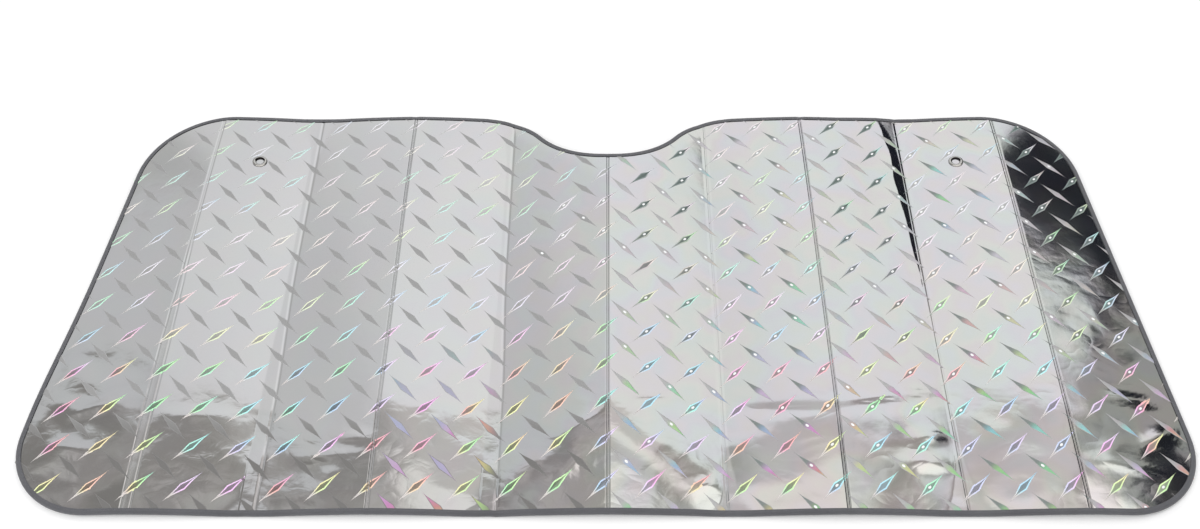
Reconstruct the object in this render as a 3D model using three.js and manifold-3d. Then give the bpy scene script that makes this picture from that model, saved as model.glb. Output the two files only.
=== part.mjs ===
// Folding windscreen sunshade, opened out and lying face up.
// Millimetres, +Z up. The lower and wider edge is at the front (-Y), the edge with the notch for
// the mirror at the back. The origin is under the middle of the outline, level with the tape that
// the shade lies on.

import * as THREE from 'three';
import { mergeVertices } from 'three/addons/utils/BufferGeometryUtils.js';
import Module from 'manifold-3d';

const wasm = await Module();
wasm.setup();

// Outline, measured over the edge tape
const HALF_WIDTH = 650;
const DEPTH = 600;
const SIDE_LEAN = 0.093;
const LOWER_CORNER_RADIUS = 90;
const UPPER_CORNER_RADIUS = 116;
const NOTCH_HALF_WIDTH = 168;
const NOTCH_DEPTH = 83;
const NOTCH_SHOULDER_RADIUS = 100;
const ARC_DIVISIONS = 4;

// Folds: the creases are ridges and valleys in turn, and the side edges lie low. The two end panels
// are a little wider than the others.
const PANELS = 10;
const END_PANEL_EXTRA = 5;
const RIDGE_RISE = 12;
const MIDDLE_RIDGE_RISE = 24;
const EDGE_RISE = 5;
const HIP_LENGTH = 110;
const VALLEY_STRIP = 8;

// Laminate of foam and metallised film
const SHEET_THICKNESS = 3;
const LOZENGE_LENGTH = 52;
const LOZENGE_WIDTH = 8;
const LOZENGE_RISE = 0.4;
const LOZENGE_SINK = 0.05;
const LOZENGE_PITCH_X = 50.5;
const LOZENGE_PITCH_Y = 49.8;
const PATTERN_START_X = 20;
const PATTERN_START_Y = 8;

// Woven tape, folded round the edge
const TAPE_THICKNESS = 0.8;
const TAPE_REACH = 5;

// Eyelets for suction cups, each clinched over a washer at the back. They are set in from the far
// edge, and a little outwards from the middle of the second panel on each side.
const EYELET_INSET = 85;
const EYELET_OFFSET = 4;
const BORE_DIAMETER = 9.5;
const BARREL_WALL = 0.6;
const FLANGE_DIAMETER = 19;
const CROWN_HEIGHT = 1.7;
const RIM_HEIGHT = 0.6;
const SHOULDER_WIDTH = 1.7;
const SHOULDER_DROP = 0.3;
const THROAT_WIDTH = 1.3;
const THROAT_DROP = 0.2;
const WASHER_THICKNESS = 0.8;
const LIP_THICKNESS = 0.7;
const LIP_WIDTH = 1.9;
const HOLE_CLEARANCE = 0.6;
const SEAT_MARGIN = 1;
const ROUND_SEGMENTS = 18;

// Clearance between pieces that touch, how far cutting tools run past what they cut, and how
// near two points count as one
const GAP = 0.3;
const OVERRUN = 10;
const WELD = 0.002;

const panelWidth = 2 * (HALF_WIDTH - END_PANEL_EXTRA) / PANELS;
const sheetInset = TAPE_THICKNESS + GAP;
const sheetBottom = TAPE_THICKNESS + GAP;
const sheetTop = sheetBottom + SHEET_THICKNESS;
const tapeInset = sheetInset + TAPE_REACH;
const tapeTop = sheetTop + GAP + TAPE_THICKNESS;
const eyeletX = (PANELS - 3) / 2 * panelWidth + EYELET_OFFSET;
const eyeletY = DEPTH / 2 - EYELET_INSET;
const barrelRadius = BORE_DIAMETER / 2 + BARREL_WALL;
const seatRadius = FLANGE_DIAMETER / 2 + SEAT_MARGIN;

const foil = new THREE.MeshStandardMaterial({ color: 0xc9cccd, metalness: 0.9, roughness: 0.3 });
const tape = new THREE.MeshStandardMaterial({ color: 0x64656b, metalness: 0.0, roughness: 0.9 });
const nickel = new THREE.MeshStandardMaterial({ color: 0xb9babd, metalness: 1.0, roughness: 0.25 });

// A closed mesh becomes a solid that can be cut and joined
function toSolid(geometry) {
  const bare = geometry.clone();
  bare.deleteAttribute('normal');
  bare.deleteAttribute('uv');
  const welded = mergeVertices(bare, 1e-4);
  const vertProperties = new Float32Array(welded.attributes.position.array);
  const triVerts = new Uint32Array(welded.index.array);
  return new wasm.Manifold(new wasm.Mesh({ numProp: 3, vertProperties, triVerts }));
}

function slab(shape, bottom, top) {
  const options = { depth: top - bottom, bevelEnabled: false, curveSegments: ARC_DIVISIONS };
  return toSolid(new THREE.ExtrudeGeometry(shape, options).translate(0, 0, bottom));
}

// The shade's outline moved inwards: straight edges, four round corners, and a notch made of one
// hollow arc between two round shoulders
function outline(inset) {
  const lean = Math.atan(SIDE_LEAN);
  const lowerX = HALF_WIDTH - LOWER_CORNER_RADIUS;
  const lowerY = LOWER_CORNER_RADIUS - DEPTH / 2;
  const upperY = DEPTH / 2 - UPPER_CORNER_RADIUS;
  const radiusChange = LOWER_CORNER_RADIUS - UPPER_CORNER_RADIUS;
  const upperX = lowerX + (radiusChange - (upperY - lowerY) * Math.sin(lean)) / Math.cos(lean);
  const lowerRadius = LOWER_CORNER_RADIUS - inset;
  const upperRadius = UPPER_CORNER_RADIUS - inset;

  const bothRadii = (NOTCH_HALF_WIDTH ** 2 + NOTCH_DEPTH ** 2) / (2 * NOTCH_DEPTH);
  const hollowRadius = bothRadii - NOTCH_SHOULDER_RADIUS;
  const hollowY = DEPTH / 2 - NOTCH_DEPTH + hollowRadius;
  const shoulderY = DEPTH / 2 - NOTCH_SHOULDER_RADIUS;
  const turn = Math.atan2(hollowY - shoulderY, NOTCH_HALF_WIDTH);
  const shoulderRadius = NOTCH_SHOULDER_RADIUS - inset;

  const quarter = Math.PI / 2;
  const half = Math.PI;
  const shape = new THREE.Shape();
  shape.absarc(lowerX, lowerY, lowerRadius, -quarter, lean, false);
  shape.absarc(upperX, upperY, upperRadius, lean, quarter, false);
  shape.absarc(NOTCH_HALF_WIDTH, shoulderY, shoulderRadius, quarter, half - turn, false);
  shape.absarc(0, hollowY, hollowRadius + inset, -turn, turn - half, true);
  shape.absarc(-NOTCH_HALF_WIDTH, shoulderY, shoulderRadius, turn, quarter, false);
  shape.absarc(-upperX, upperY, upperRadius, quarter, half - lean, false);
  shape.absarc(-lowerX, lowerY, lowerRadius, half - lean, half + quarter, false);
  shape.closePath();
  return shape;
}

// Each ridge has a foot on both sides: the edge of a valley's flat strip, or the side of the shade
function findRidges() {
  const ridges = [];
  for (let i = 1; i < PANELS; i += 2) {
    const x = (i - PANELS / 2) * panelWidth;
    const rise = Math.abs(x) < panelWidth / 2 ? MIDDLE_RIDGE_RISE : RIDGE_RISE;
    const left = i === 1 ? -HALF_WIDTH : x - panelWidth + VALLEY_STRIP / 2;
    const right = i === PANELS - 1 ? HALF_WIDTH : x + panelWidth - VALLEY_STRIP / 2;
    ridges.push({ x, rise, left, right });
  }
  return ridges;
}

const ridges = findRidges();

// Height of the folded sheet above the valleys: a panel climbs evenly from foot to ridge, and at
// the front and back edges a hip brings the ridge down to the low rise of the bound edge
function riseAt(x, y) {
  const ridge = ridges.find((r) => x > r.left && x < r.right);
  if (!ridge) {
    return 0;
  }
  const foot = x < ridge.x ? ridge.left : ridge.right;
  const across = (x - foot) / (ridge.x - foot);
  const along = (Math.abs(y) - DEPTH / 2 + HIP_LENGTH) / HIP_LENGTH;
  const panel = ridge.rise * across;
  const hip = (ridge.rise - EDGE_RISE) * (1 - along) + EDGE_RISE * across;
  return Math.min(panel, hip);
}

// Plan outlines of the flat facets between all the fold lines
function facetPlans() {
  const plans = [];
  const end = DEPTH / 2;
  const hipStart = end - HIP_LENGTH;
  const past = end + OVERRUN;
  for (const ridge of ridges) {
    for (const foot of [ridge.left, ridge.right]) {
      plans.push([[foot, -end], [ridge.x, -hipStart], [ridge.x, hipStart], [foot, end]]);
      plans.push([[foot, end], [ridge.x, hipStart], [ridge.x, past], [foot, past]]);
      plans.push([[foot, -end], [ridge.x, -hipStart], [ridge.x, -past], [foot, -past]]);
    }
  }
  for (let i = 1; i < ridges.length; i++) {
    const left = ridges[i - 1].right;
    const right = ridges[i].left;
    plans.push([[left, -past], [right, -past], [right, past], [left, past]]);
  }
  return plans;
}

// Whether a face stands on the rim of a plan outline, so that it was made by cutting along it
function isCutFace(plan, corners) {
  return plan.some(([x0, y0], i) => {
    const [x1, y1] = plan[(i + 1) % plan.length];
    const length = Math.hypot(x1 - x0, y1 - y0);
    return corners.every(([x, y]) => {
      const offset = ((x - x0) * (y1 - y0) - (y - y0) * (x1 - x0)) / length;
      return Math.abs(offset) < WELD;
    });
  });
}

// Where a long edge of one facet lies along several short ones of the next, its triangle is
// divided at their ends, so that the two facets share every edge
function matchEdges(points, triangles) {
  const edges = new Set(triangles.flatMap(([a, b, c]) => [`${a} ${b}`, `${b} ${c}`, `${c} ${a}`]));
  const open = [...edges].map((edge) => edge.split(' ').map(Number));
  const loose = new Set(open.filter(([a, b]) => !edges.has(`${b} ${a}`)).flat());
  const between = (i, j) => {
    const start = points[i];
    const along = points[j].clone().sub(start);
    const places = [];
    for (const k of loose) {
      const offset = points[k].clone().sub(start);
      const share = offset.dot(along) / along.lengthSq();
      const distance = offset.addScaledVector(along, -share).length();
      if (k !== i && k !== j && share > 0 && share < 1 && distance < WELD) {
        places.push([share, k]);
      }
    }
    return places.sort((p, q) => p[0] - q[0]).map(([, k]) => k);
  };
  const divide = ([a, b, c], turns) => {
    if (turns === 3) {
      return [[a, b, c]];
    }
    const middle = edges.has(`${b} ${a}`) ? [] : between(a, b);
    const ends = [a, ...middle, b];
    return middle.length
      ? middle.concat(b).flatMap((k, i) => divide([k, c, ends[i]], 1))
      : divide([b, c, a], turns + 1);
  };
  return triangles.flatMap((triangle) => divide(triangle, 0));
}

// Folds a flat body: it is cut into its facets, each point is lifted, and the facets' faces are
// welded along the fold lines, where the cut faces fall away
function fold(flat) {
  const positions = [];
  for (const plan of facetPlans()) {
    const shape = new THREE.Shape(plan.map(([x, y]) => new THREE.Vector2(x, y)));
    const mesh = flat.intersect(slab(shape, -OVERRUN, sheetTop + OVERRUN)).getMesh();
    for (let i = 0; i < mesh.triVerts.length; i += 3) {
      const corners = [0, 1, 2].map((k) => {
        const start = 3 * mesh.triVerts[i + k];
        return Array.from(mesh.vertProperties.slice(start, start + 3));
      });
      if (!isCutFace(plan, corners)) {
        positions.push(...corners.flatMap(([x, y, z]) => [x, y, z + riseAt(x, y)]));
      }
    }
  }
  const loose = new THREE.BufferGeometry();
  loose.setAttribute('position', new THREE.Float32BufferAttribute(positions, 3));
  const geometry = mergeVertices(loose, WELD);
  const place = geometry.attributes.position;
  const points = [];
  for (let i = 0; i < place.count; i++) {
    points.push(new THREE.Vector3().fromBufferAttribute(place, i));
  }
  const triangles = [];
  for (let i = 0; i < geometry.index.count; i += 3) {
    triangles.push([0, 1, 2].map((k) => geometry.index.getX(i + k)));
  }
  geometry.setIndex(matchEdges(points, triangles).flat());
  geometry.computeVertexNormals();
  return geometry;
}

// Low four-sided points of the tread pattern. Those that lean left stand on a square lattice, and
// those that lean right stand in the middle of its squares.
function addLozenge(positions, x, y, lean) {
  const spread = (LOZENGE_RISE + LOZENGE_SINK) / LOZENGE_RISE * Math.SQRT1_2;
  const long = LOZENGE_LENGTH / 2 * spread;
  const short = LOZENGE_WIDTH / 2 * spread;
  const base = sheetTop - LOZENGE_SINK;
  const corners = [
    [x - long, y - lean * long, base],
    [x + lean * short, y - short, base],
    [x + long, y + lean * long, base],
    [x - lean * short, y + short, base],
  ];
  const top = [x, y, sheetTop + LOZENGE_RISE];
  for (let i = 0; i < 4; i++) {
    positions.push(...corners[i], ...corners[(i + 1) % 4], ...top);
  }
  positions.push(...corners[0], ...corners[2], ...corners[1]);
  positions.push(...corners[0], ...corners[3], ...corners[2]);
}

function lozenges() {
  const positions = [];
  const columns = Math.ceil(HALF_WIDTH / LOZENGE_PITCH_X) + 1;
  const rows = Math.ceil(DEPTH / LOZENGE_PITCH_Y) + 1;
  for (let i = -columns; i <= columns; i++) {
    for (let j = -1; j <= rows; j++) {
      const x = PATTERN_START_X + i * LOZENGE_PITCH_X;
      const y = PATTERN_START_Y + j * LOZENGE_PITCH_Y - DEPTH / 2;
      addLozenge(positions, x, y, -1);
      addLozenge(positions, x + LOZENGE_PITCH_X / 2, y + LOZENGE_PITCH_Y / 2, 1);
    }
  }
  const geometry = new THREE.BufferGeometry();
  geometry.setAttribute('position', new THREE.Float32BufferAttribute(positions, 3));
  return toSolid(geometry);
}

function uprightCylinder(x, y, radius, bottom, top) {
  const geometry = new THREE.CylinderGeometry(radius, radius, top - bottom, ROUND_SEGMENTS);
  geometry.rotateX(Math.PI / 2).translate(x, y, (bottom + top) / 2);
  return toSolid(geometry);
}

// One sheet of laminate, plain under the tape and round the eyelets
function makeSheet() {
  const above = sheetTop + OVERRUN;
  let pattern = lozenges().intersect(slab(outline(tapeInset + GAP), 0, above));
  let sheet = slab(outline(sheetInset), sheetBottom, sheetTop);
  for (const x of [-eyeletX, eyeletX]) {
    pattern = pattern.subtract(uprightCylinder(x, eyeletY, seatRadius, 0, above));
    const holeRadius = barrelRadius + HOLE_CLEARANCE;
    sheet = sheet.subtract(uprightCylinder(x, eyeletY, holeRadius, -OVERRUN, above));
  }
  return fold(sheet.add(pattern));
}

// One length of tape with a C section, open towards the sheet
function makeBinding() {
  const wrap = slab(outline(0), 0, tapeTop);
  const slot = slab(outline(TAPE_THICKNESS), TAPE_THICKNESS, tapeTop - TAPE_THICKNESS);
  const middle = slab(outline(tapeInset), -OVERRUN, tapeTop + OVERRUN);
  return fold(wrap.subtract(slot).subtract(middle));
}

// Turned about the Z axis from a closed profile of [radius, height] points
function turned(profile) {
  const points = profile.map(([radius, height]) => new THREE.Vector2(radius, height));
  points.push(points[0].clone());
  return new THREE.LatheGeometry(points, ROUND_SEGMENTS).rotateX(Math.PI / 2);
}

// The eyelet's own zero height is the sheet's upper face
function makeEyelet() {
  const bore = BORE_DIAMETER / 2;
  const rim = FLANGE_DIAMETER / 2;
  const crownStart = bore + THROAT_WIDTH;
  const crownEnd = rim - SHOULDER_WIDTH;
  const lipTop = -SHEET_THICKNESS - WASHER_THICKNESS - 2 * GAP;
  const lipBottom = lipTop - LIP_THICKNESS;
  return turned([
    [bore, lipBottom + LIP_THICKNESS / 2],
    [barrelRadius, lipBottom],
    [barrelRadius + LIP_WIDTH, lipBottom],
    [barrelRadius + LIP_WIDTH, lipTop],
    [barrelRadius, lipTop],
    [barrelRadius, GAP],
    [rim, GAP],
    [rim, RIM_HEIGHT],
    [(rim + crownEnd) / 2, CROWN_HEIGHT - SHOULDER_DROP],
    [crownEnd, CROWN_HEIGHT],
    [crownStart, CROWN_HEIGHT],
    [(bore + crownStart) / 2, CROWN_HEIGHT - THROAT_DROP],
    [bore, CROWN_HEIGHT / 2],
  ]);
}

function makeWasher() {
  const top = -SHEET_THICKNESS - GAP;
  return turned([
    [barrelRadius + GAP, top - WASHER_THICKNESS],
    [FLANGE_DIAMETER / 2, top - WASHER_THICKNESS],
    [FLANGE_DIAMETER / 2, top],
    [barrelRadius + GAP, top],
  ]);
}

function named(name, geometry, material) {
  const mesh = new THREE.Mesh(geometry, material);
  mesh.name = name;
  return mesh;
}

// An eyelet and its washer stand square to the panel that they go through
function eyeletSet(side, x) {
  const group = new THREE.Group();
  const climb = riseAt(x + seatRadius, eyeletY) - riseAt(x - seatRadius, eyeletY);
  group.position.set(x, eyeletY, sheetTop + riseAt(x, eyeletY));
  group.rotation.y = -Math.atan2(climb, 2 * seatRadius);
  group.add(named(`eyelet_${side}`, makeEyelet(), nickel));
  group.add(named(`eyelet_washer_${side}`, makeWasher(), nickel));
  return group;
}

const sunshade = new THREE.Group();
sunshade.add(named('shade_sheet', makeSheet(), foil));
sunshade.add(named('edge_binding', makeBinding(), tape));
sunshade.add(eyeletSet('left', -eyeletX));
sunshade.add(eyeletSet('right', eyeletX));

export default sunshade;
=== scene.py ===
import math

import bmesh
import bpy
import numpy as np
from mathutils import Euler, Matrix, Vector, noise


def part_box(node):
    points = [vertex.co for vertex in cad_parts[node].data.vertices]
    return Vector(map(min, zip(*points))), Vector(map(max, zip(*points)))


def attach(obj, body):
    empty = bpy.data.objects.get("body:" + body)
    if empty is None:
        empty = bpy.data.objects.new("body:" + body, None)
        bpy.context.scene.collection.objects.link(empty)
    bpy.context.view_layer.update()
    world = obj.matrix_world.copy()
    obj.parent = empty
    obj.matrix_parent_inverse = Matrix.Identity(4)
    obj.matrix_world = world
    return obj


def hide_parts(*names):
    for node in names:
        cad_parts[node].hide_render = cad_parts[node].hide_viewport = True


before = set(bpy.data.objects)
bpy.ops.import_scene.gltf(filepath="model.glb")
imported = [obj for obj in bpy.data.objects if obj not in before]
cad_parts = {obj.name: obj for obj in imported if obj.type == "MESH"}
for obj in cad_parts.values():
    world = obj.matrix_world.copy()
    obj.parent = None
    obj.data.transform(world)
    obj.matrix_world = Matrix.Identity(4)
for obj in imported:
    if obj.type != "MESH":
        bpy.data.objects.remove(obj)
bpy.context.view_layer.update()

# Camera. It stands in front of the middle of the shade, a little over arm's height, and looks down
# on it. Its place and lens follow from how the outline narrows towards the back of the picture.
CAMERA_PLACE = (0.0, -0.9867, 1.2701)
CAMERA_DOWN = math.radians(50.79)
FOCAL_PIXELS = 1325.6
PICTURE_WIDTH = 1200
MIDDLE_PIXEL = 607.86
SENSOR_WIDTH = 36.0

camera_data = bpy.data.cameras.new("camera")
camera_data.sensor_width = SENSOR_WIDTH
camera_data.lens = FOCAL_PIXELS / PICTURE_WIDTH * SENSOR_WIDTH
camera_data.shift_x = 0.5 - MIDDLE_PIXEL / PICTURE_WIDTH
camera = bpy.data.objects.new("camera", camera_data)
camera.location = CAMERA_PLACE
camera.rotation_euler = (math.pi / 2 - CAMERA_DOWN, 0, 0)
bpy.context.collection.objects.link(camera)
bpy.context.scene.camera = camera

# Laminate sheet. It is one piece of thin foam faced with metallised film, die-cut to the outline
# and pressed along nine lines, so that it folds up like an accordion. Laid open, it keeps low
# ridges and valleys at the pressed lines, and the film crumples most along the near edge.
tape_low, tape_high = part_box("edge_binding")
HALF_WIDTH = 0.650
DEPTH = tape_high.y - tape_low.y
SIDE_LEAN = math.atan(0.093)
LOWER_RADIUS = 0.090
UPPER_RADIUS = 0.116
NOTCH_HALF_WIDTH = 0.168
NOTCH_DEPTH = 0.083
SHOULDER_RADIUS = 0.100
PANEL_WIDTH = 0.129
RIDGE_RISE = 0.012
MIDDLE_RIDGE_RISE = 0.024
EDGE_RISE = 0.005
HIP_LENGTH = 0.110
HIP_SOFTNESS = 0.0060
VALLEY_HALF_WIDTH = 0.004
RIDGE_HALF_WIDTH = 0.0013
LOOSE_RIDGE_EXTRA = 0.0038
GROOVE_DEPTH = 0.0008
GROOVE_WIDTH = 0.0005
VALLEY_DENT = 0.0005
VALLEY_DENT_WIDTH = 0.0008
RIBBON_HALF_WIDTH = 0.0085
RIBBON_FAR_HALF_WIDTH = 0.003
CURL_LINE = 3 * PANEL_WIDTH
CURL_WIDTH = 0.020
CURL_SLOPE = 0.095
CURL_END = -0.07
PANEL_BULGE = 0.0006
END_PANEL_BULGE = 0.00012
WAVE_HEIGHT = 0.00040
SOFT_CRUMPLES = 0.00058
SHARP_CRUMPLES = 0.00016
SMALL_CRUMPLES = 0.00022
CRUMPLE_MARGIN = 0.030
SPREAD = 0.0065
SPREAD_Y = -0.165
SPREAD_LENGTH = 0.110
SHEET_BOTTOM = 0.0011
SHEET_TOP = 0.0041
SHEET_INSET = 0.0011
TAPE_REACH = 0.0061
COLUMN_SPACING = 0.0050
RIM_GAP = 0.0003
WIDEST_COLUMN = HALF_WIDTH - SHEET_INSET - RIM_GAP
LEAN_START = 4 * PANEL_WIDTH + 0.012
COLUMN_GAP = 0.001
CURL_SPACING = 0.0015
CURL_CLEARANCE = 0.0125
RIDGE_OFFSETS = (0.0008, 0.0013, 0.0018, 0.0023, 0.003, 0.0045)
VALLEY_OFFSETS = tuple(0.001 * k for k in range(1, 12))
ROWS = 118
HALVINGS = 40

lower_x = HALF_WIDTH - LOWER_RADIUS
lower_y = LOWER_RADIUS - DEPTH / 2
upper_y = DEPTH / 2 - UPPER_RADIUS
lean_offset = LOWER_RADIUS - UPPER_RADIUS - (upper_y - lower_y) * math.sin(SIDE_LEAN)
upper_x = lower_x + lean_offset / math.cos(SIDE_LEAN)
both_radii = (NOTCH_HALF_WIDTH**2 + NOTCH_DEPTH**2) / (2 * NOTCH_DEPTH)
hollow_radius = both_radii - SHOULDER_RADIUS
hollow_y = DEPTH / 2 - NOTCH_DEPTH + hollow_radius
shoulder_y = DEPTH / 2 - SHOULDER_RADIUS
notch_turn = math.atan2(hollow_y - shoulder_y, NOTCH_HALF_WIDTH)


def smooth(low, high, value):
    """0 below low, 1 above high, and a soft step between them; high may be the lower one."""
    share = np.clip((value - low) / (high - low), 0, 1)
    return share * share * (3 - 2 * share)


def half_chord(radius, offset):
    return np.sqrt(np.maximum(radius**2 - offset**2, 0))


def ends_of_column(x, inset):
    """Front and back y of the outline, moved inwards by inset, at each x."""
    across = np.abs(x)
    corner = LOWER_RADIUS - inset
    half = half_chord(corner, across - lower_x)
    front = np.where(across < lower_x, inset - DEPTH / 2, lower_y - half)
    lean_x = lower_x + corner * math.cos(SIDE_LEAN)
    lean_y = lower_y + corner * math.sin(SIDE_LEAN)
    top_corner = UPPER_RADIUS - inset
    side = lean_y + (lean_x - across) / math.tan(SIDE_LEAN)
    hollow_end = (hollow_radius + inset) * math.cos(notch_turn)
    back = np.select(
        [
            across < hollow_end,
            across < NOTCH_HALF_WIDTH,
            across < upper_x,
            across < upper_x + top_corner * math.cos(SIDE_LEAN),
            across < lean_x,
        ],
        [
            hollow_y - half_chord(hollow_radius + inset, across),
            shoulder_y + half_chord(SHOULDER_RADIUS - inset, across - NOTCH_HALF_WIDTH),
            DEPTH / 2 - inset,
            upper_y + half_chord(top_corner, across - upper_x),
            side,
        ],
        lower_y + half,
    )
    return front, back


def distance_inside(x, y):
    """About how far a point lies inside the outline."""
    front, back = ends_of_column(x, 0)
    side = lower_x + (LOWER_RADIUS - (y - lower_y) * math.sin(SIDE_LEAN)) / math.cos(SIDE_LEAN)
    return np.minimum(np.minimum(y - front, back - y), side - np.abs(x))


def noise_at(x, y, scale_x, scale_y, layer):
    places = zip(x.ravel() * scale_x, y.ravel() * scale_y)
    values = [noise.noise((a, b, layer)) for a, b in places]
    return np.array(values).reshape(x.shape)


def folded(x, y):
    """Height of the folded laminate above its valleys: panels, hips and pressed lines."""
    height = np.zeros_like(x)
    along = (np.abs(y) - DEPTH / 2 + HIP_LENGTH) / HIP_LENGTH
    for ridge in range(-4, 5, 2):
        middle = ridge * PANEL_WIDTH
        rise = MIDDLE_RIDGE_RISE if ridge == 0 else RIDGE_RISE
        for side in (-1, 1):
            last = abs(ridge) == 4 and ridge * side > 0
            reach = HALF_WIDTH - abs(middle) if last else PANEL_WIDTH - VALLEY_HALF_WIDTH
            share = 1 - (x - middle) * side / reach
            panel = rise * share
            hip = (rise - EDGE_RISE) * (1 - along) + EDGE_RISE * share
            blend = np.clip(0.5 + (hip - panel) / (2 * HIP_SOFTNESS), 0, 1)
            soft = hip + (panel - hip) * blend - HIP_SOFTNESS * blend * (1 - blend)
            bulge = (END_PANEL_BULGE if last else PANEL_BULGE) * np.sin(np.pi * np.clip(share, 0, 1))
            inside = (share > 0) & ((x - middle) * side >= 0)
            height = np.where(inside, np.maximum(soft, 0) + bulge, height)
        gap = np.abs(x - middle)
        crown = RIDGE_HALF_WIDTH
        if ridge == -4:
            crown = crown + LOOSE_RIDGE_EXTRA * smooth(0.10, -0.12, y)
        flat_top = rise * crown / PANEL_WIDTH * smooth(crown, 0, gap)
        groove = GROOVE_DEPTH * np.exp(-((gap - crown) / GROOVE_WIDTH) ** 2)
        height = height - flat_top - groove
    for valley in (-3, -1):
        widening = (RIBBON_HALF_WIDTH - RIBBON_FAR_HALF_WIDTH) * smooth(0.05, -0.16, y)
        ribbon = RIBBON_FAR_HALF_WIDTH + widening
        gap = np.abs(x - valley * PANEL_WIDTH)
        fill = (ribbon - VALLEY_HALF_WIDTH) * RIDGE_RISE / PANEL_WIDTH
        height = np.where(gap < ribbon, np.maximum(height, fill), height)
        edge = x - valley * PANEL_WIDTH - ribbon
        height = height - VALLEY_DENT * np.exp(-((edge / (1.6 * VALLEY_DENT_WIDTH)) ** 2))
    for valley in (1, 3):
        gap = x - valley * PANEL_WIDTH
        height = height - VALLEY_DENT * np.exp(-((gap / VALLEY_DENT_WIDTH) ** 2))
    return height + curled(x, y)


def curled(x, y):
    """A curl that stands up along the right-hand valley and is widest at the far edge."""
    width = CURL_WIDTH * np.clip((y - CURL_END) / (DEPTH / 2 - CURL_END), 0, 1)
    width = width * (1 + 0.5 * noise_at(x * 0, y, 1, 34, 3.5)) + 1e-6
    share = (CURL_LINE - x) / width
    return CURL_SLOPE * width * np.interp(share, (0, 1, 3), (0, 1, 0))


# Short wrinkles pressed in near the front: start, end, height and half width of each
WRINKLES = (
    ((0.245, -0.163), (0.372, -0.142), 0.0012, 0.0034),
    ((0.010, -0.156), (0.085, -0.153), 0.0005, 0.0030),
    ((0.145, -0.168), (0.250, -0.172), -0.0006, 0.0050),
    ((-0.060, -0.212), (-0.010, -0.184), 0.0010, 0.0065),
    ((-0.060, -0.265), (-0.030, -0.232), 0.0010, 0.0080),
    ((0.085, -0.270), (0.120, -0.262), 0.0009, 0.0050),
    ((0.340, -0.205), (0.378, -0.200), 0.0012, 0.0080),
    ((0.330, -0.235), (0.376, -0.238), 0.0012, 0.0075),
    ((-0.300, -0.205), (-0.265, -0.208), 0.0008, 0.0055),
    ((-0.345, -0.232), (-0.280, -0.226), 0.0008, 0.0060),
    ((-0.500, -0.178), (-0.420, -0.176), 0.0006, 0.0060),
    ((-0.600, -0.175), (-0.545, -0.158), 0.0010, 0.0070),
    ((-0.610, -0.215), (-0.560, -0.225), 0.0010, 0.0080),
    ((0.560, -0.150), (0.628, -0.160), 0.0010, 0.0055),
    ((0.590, -0.215), (0.640, -0.190), 0.0012, 0.0080),
    ((0.530, -0.235), (0.610, -0.250), 0.0009, 0.0075),
)


def wrinkled(x, y):
    height = np.zeros_like(x)
    for (x0, y0), (x1, y1), rise, half_width in WRINKLES:
        run_x, run_y = x1 - x0, y1 - y0
        share = np.clip(((x - x0) * run_x + (y - y0) * run_y) / (run_x**2 + run_y**2), 0, 1)
        away = np.hypot(x - x0 - share * run_x, y - y0 - share * run_y)
        fade = 0.25 + 0.75 * np.sin(np.pi * share)
        height = height + rise * fade * np.exp(-(away / half_width) ** 1.5)
    return height


def crumpled(x, y):
    """Soft waves all over, and crumples along the near edge and on the two end panels."""
    near = smooth(-0.12, -0.20, y)
    right = smooth(0.515, 0.545, x) * (0.15 + 0.85 * smooth(0.05, -0.12, y))
    left = smooth(-0.50, -0.56, x) * smooth(0.0, -0.12, y)
    loose = np.maximum(np.maximum(near, right), 2.0 * left)
    waves = WAVE_HEIGHT * noise_at(x, y, 9, 5, 1.5)
    soft = noise_at(x, y, 15, 19, 7.5)
    sharp = 1 - 2 * np.abs(noise_at(x, y, 21, 27, 12.5))
    small = smooth(0.05, -0.15, x) * noise_at(x, y, 38, 34, 21.5)
    crumples = SOFT_CRUMPLES * soft + SHARP_CRUMPLES * sharp + SMALL_CRUMPLES * small
    free = smooth(TAPE_REACH, CRUMPLE_MARGIN, distance_inside(x, y))
    return (waves + (0.04 + loose) * crumples + wrinkled(x, y)) * free


def sheet_height(x, y):
    return folded(x, y) + crumpled(x, y)


def spread(x, y):
    """How far left a point lies, because the left end panel reaches out at its near corner."""
    return SPREAD * smooth(-0.50, -0.65, x) * np.exp(-(((y - SPREAD_Y) / SPREAD_LENGTH) ** 2))


def laid(x, y, z):
    """Points of the plain outline, moved to where they lie on the opened-out shade."""
    return np.stack([x - spread(x, y), y, z], axis=-1)


def make_object(name, vertices, faces, smooth_faces=True):
    mesh = bpy.data.meshes.new(name)
    mesh.from_pydata([tuple(v) for v in vertices], [], faces)
    mesh.polygons.foreach_set("use_smooth", [smooth_faces] * len(mesh.polygons))
    mesh.update()
    piece = bpy.data.objects.new(name, mesh)
    bpy.context.collection.objects.link(piece)
    return piece


def make_columns():
    """Columns stand closer together at the pressed lines and under the curl."""
    count = int(2 * WIDEST_COLUMN / COLUMN_SPACING)
    columns = list(np.linspace(-WIDEST_COLUMN, WIDEST_COLUMN, count))
    for line in range(-4, 5):
        middle = line * PANEL_WIDTH
        offsets = VALLEY_OFFSETS if line % 2 or line == -4 else RIDGE_OFFSETS
        columns = [c for c in columns if abs(c - middle) > offsets[-1] + COLUMN_GAP]
        columns += [middle] + [middle + side * offset for offset in offsets for side in (-1, 1)]
    start = CURL_LINE - 1.6 * CURL_WIDTH
    columns += list(np.arange(start, CURL_LINE - CURL_CLEARANCE, CURL_SPACING))
    return np.array(sorted(columns))


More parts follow.
